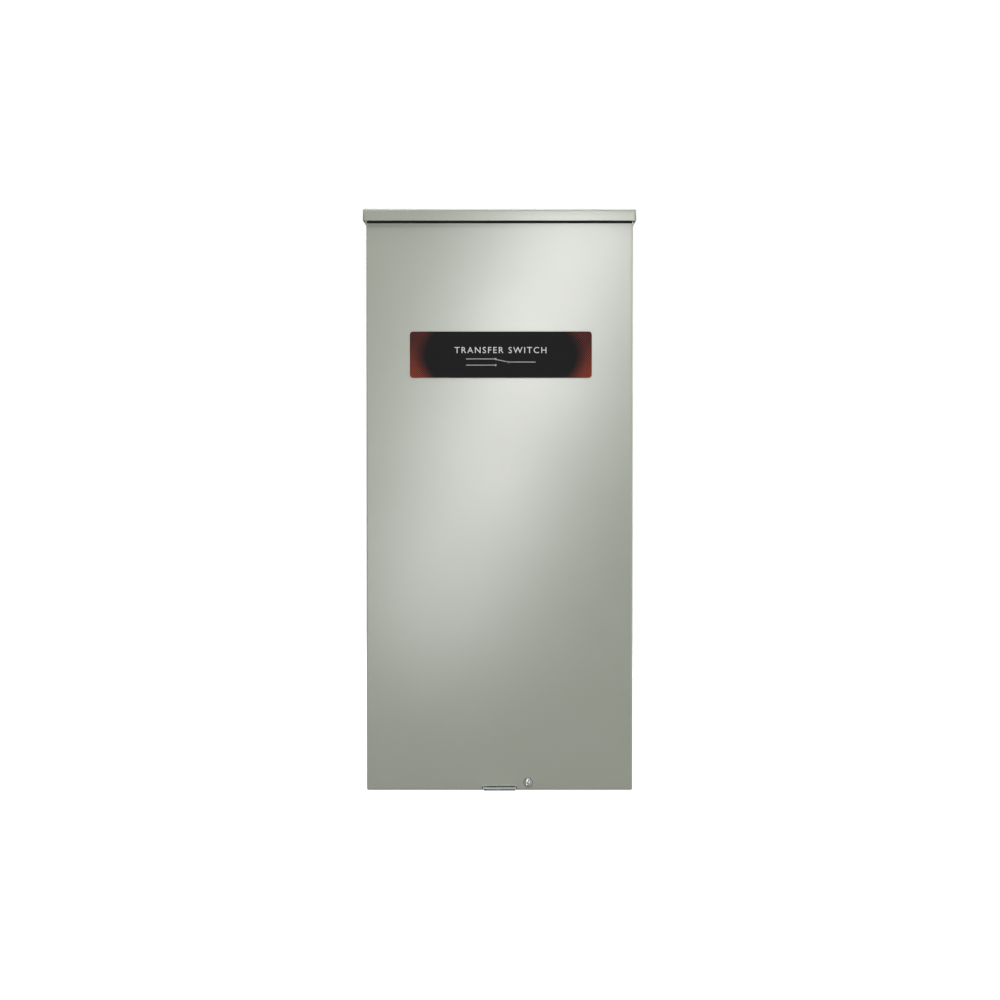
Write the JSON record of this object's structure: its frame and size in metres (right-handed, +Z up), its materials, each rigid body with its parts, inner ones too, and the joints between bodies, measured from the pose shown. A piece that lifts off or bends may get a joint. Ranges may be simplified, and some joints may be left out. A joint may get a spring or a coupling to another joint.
{
  "type": "automatic transfer switch",
  "caption": "Tall wall-hung outdoor transfer switch: sheet-metal enclosure with swing-out cover, holding a service breaker, double-throw contacts, solenoid drive, relay, fuses and neutral bar.",
  "frame": {"origin": "on the wall face of the enclosure's back, in the middle of its width and of the height from hood to cover edge", "axes": "+X to the right of someone facing the cover, +Y back into the wall, +Z up"},
  "size_m": [0.354, 0.196, 0.755],
  "materials": {
    "grey_green_paint": "powder coat, semi-gloss with a fine orange-peel texture",
    "label_black": "printed film",
    "zinc": "bright zinc plate",
    "galvanised": "galvanised sheet",
    "black_moulding": "moulded thermoset, satin",
    "brown_moulding": "moulded phenolic, satin",
    "white_moulding": "moulded nylon, satin",
    "red_plastic": "moulded plastic",
    "copper": "bare rolled copper",
    "aluminium": "tin-plated extrusion",
    "steel": "turned and plated steel",
    "winding": "taped coil",
    "board_green": "solder-masked circuit board",
    "clear_plastic": "clear polycarbonate",
    "fuse_body": "fuse tube",
    "wire_blue": "wire insulation"
  },
  "bodies": {
    "enclosure": {"bonding_jumper": "copper", "bottom_endwall": "grey_green_paint", "breaker_base": "black_moulding", "breaker_cover": "black_moulding", "control_harness": "wire_blue", "enclosure_shell": "grey_green_paint", "fuse_1": "fuse_body", "fuse_2": "fuse_body", "fuse_3": "fuse_body", "fuse_block": "black_moulding", "generator_bus_1": "copper", "generator_bus_2": "copper", "generator_coil": "winding", "generator_limit_switch": "black_moulding", "generator_lug_1": "aluminium", "generator_lug_1_screw": "steel", "generator_lug_2": "aluminium", "generator_lug_2_screw": "steel", "ground_bar": "aluminium", "hood": "grey_green_paint", "line_barrier": "clear_plastic", "line_lug_1": "aluminium", "line_lug_1_screw": "steel", "line_lug_2": "aluminium", "line_lug_2_screw": "steel", "load_bus_1": "copper", "load_bus_2": "copper", "load_lug_1": "aluminium", "load_lug_1_screw": "steel", "load_lug_2": "aluminium", "load_lug_2_screw": "steel", "load_management_board": "board_green", "mounting_panel": "galvanised", "neutral_bar": "aluminium", "neutral_insulator": "white_moulding", "overcentre_spring": "steel", "padlock_hasp": "galvanised", "relay_base": "black_moulding", "relay_cover": "clear_plastic", "screw_receiver": "zinc", "solenoid_frame": "galvanised", "switch_base": "brown_moulding", "terminal_strip": "black_moulding", "utility_bus_1": "copper", "utility_bus_2": "copper", "utility_coil": "winding", "utility_limit_switch": "black_moulding"},
    "cover": {"cover": "grey_green_paint", "front_label": "label_black"},
    "screw_retainer": {"cover_screw_retainer": "zinc"},
    "cover_screw": {"cover_screw": "zinc"},
    "breaker_toggle": {"breaker_toggle": "black_moulding"},
    "transfer_drive": {"drive_shaft": "steel", "moving_contact_1": "copper", "moving_contact_2": "copper", "manual_handle": "red_plastic"},
    "plunger": {"plunger": "steel"},
    "relay_armature": {"relay_armature": "steel"},
    "utility_limit_button": {"utility_limit_button": "red_plastic"},
    "generator_limit_button": {"generator_limit_button": "red_plastic"}
  },
  "joints": [
    {"name": "cover_swing", "type": "hinge", "parent": "enclosure", "child": "cover", "pos_m": [0, -0.1772, 0.3672], "axis": [-1, 0, 0], "range_deg": [0, 32]},
    {"name": "cover_screw_lift", "type": "slide", "parent": "cover", "child": "screw_retainer", "axis": [0, -1, 0], "range_m": [0, 0.0035]},
    {"name": "cover_screw_turn", "type": "hinge", "parent": "screw_retainer", "child": "cover_screw", "pos_m": [0.037, 0, -0.3671], "axis": [0, -1, 0], "range_deg": [0, 993]},
    {"name": "breaker_toggle_throw", "type": "hinge", "parent": "enclosure", "child": "breaker_toggle", "pos_m": [0.07, -0.0703, 0.22], "axis": [1, 0, 0], "range_deg": [0, 40]},
    {"name": "transfer_throw", "type": "hinge", "parent": "enclosure", "child": "transfer_drive", "pos_m": [0.07, -0.06, 0.01], "axis": [1, 0, 0], "range_deg": [0, 50], "deforming": ["overcentre_spring"]},
    {"name": "plunger_stroke", "type": "slide", "parent": "enclosure", "child": "plunger", "axis": [0, 0, 1], "range_m": [-0.0128, 0]},
    {"name": "relay_armature_pull", "type": "hinge", "parent": "enclosure", "child": "relay_armature", "pos_m": [-0.127, -0.0543, 0.155], "axis": [1, 0, 0], "range_deg": [0, 4], "stiffness_Nm_per_rad": 0.02, "springref_deg": -8.59},
    {"name": "utility_limit_press", "type": "slide", "parent": "enclosure", "child": "utility_limit_button", "axis": [0, 0, 1], "range_m": [0, 0.001], "stiffness_N_per_m": 150, "springref_m": -0.002},
    {"name": "generator_limit_press", "type": "slide", "parent": "enclosure", "child": "generator_limit_button", "axis": [0, 0, -1], "range_m": [0, 0.001], "stiffness_N_per_m": 150, "springref_m": -0.002}
  ],
  "couplings": [
    {"joint": "cover_screw_turn", "follows": "cover_screw_lift", "rad_per_m": 4947.4},
    {"joint": "plunger_stroke", "follows": "transfer_throw", "m_per_rad": -0.014528}
  ]
}
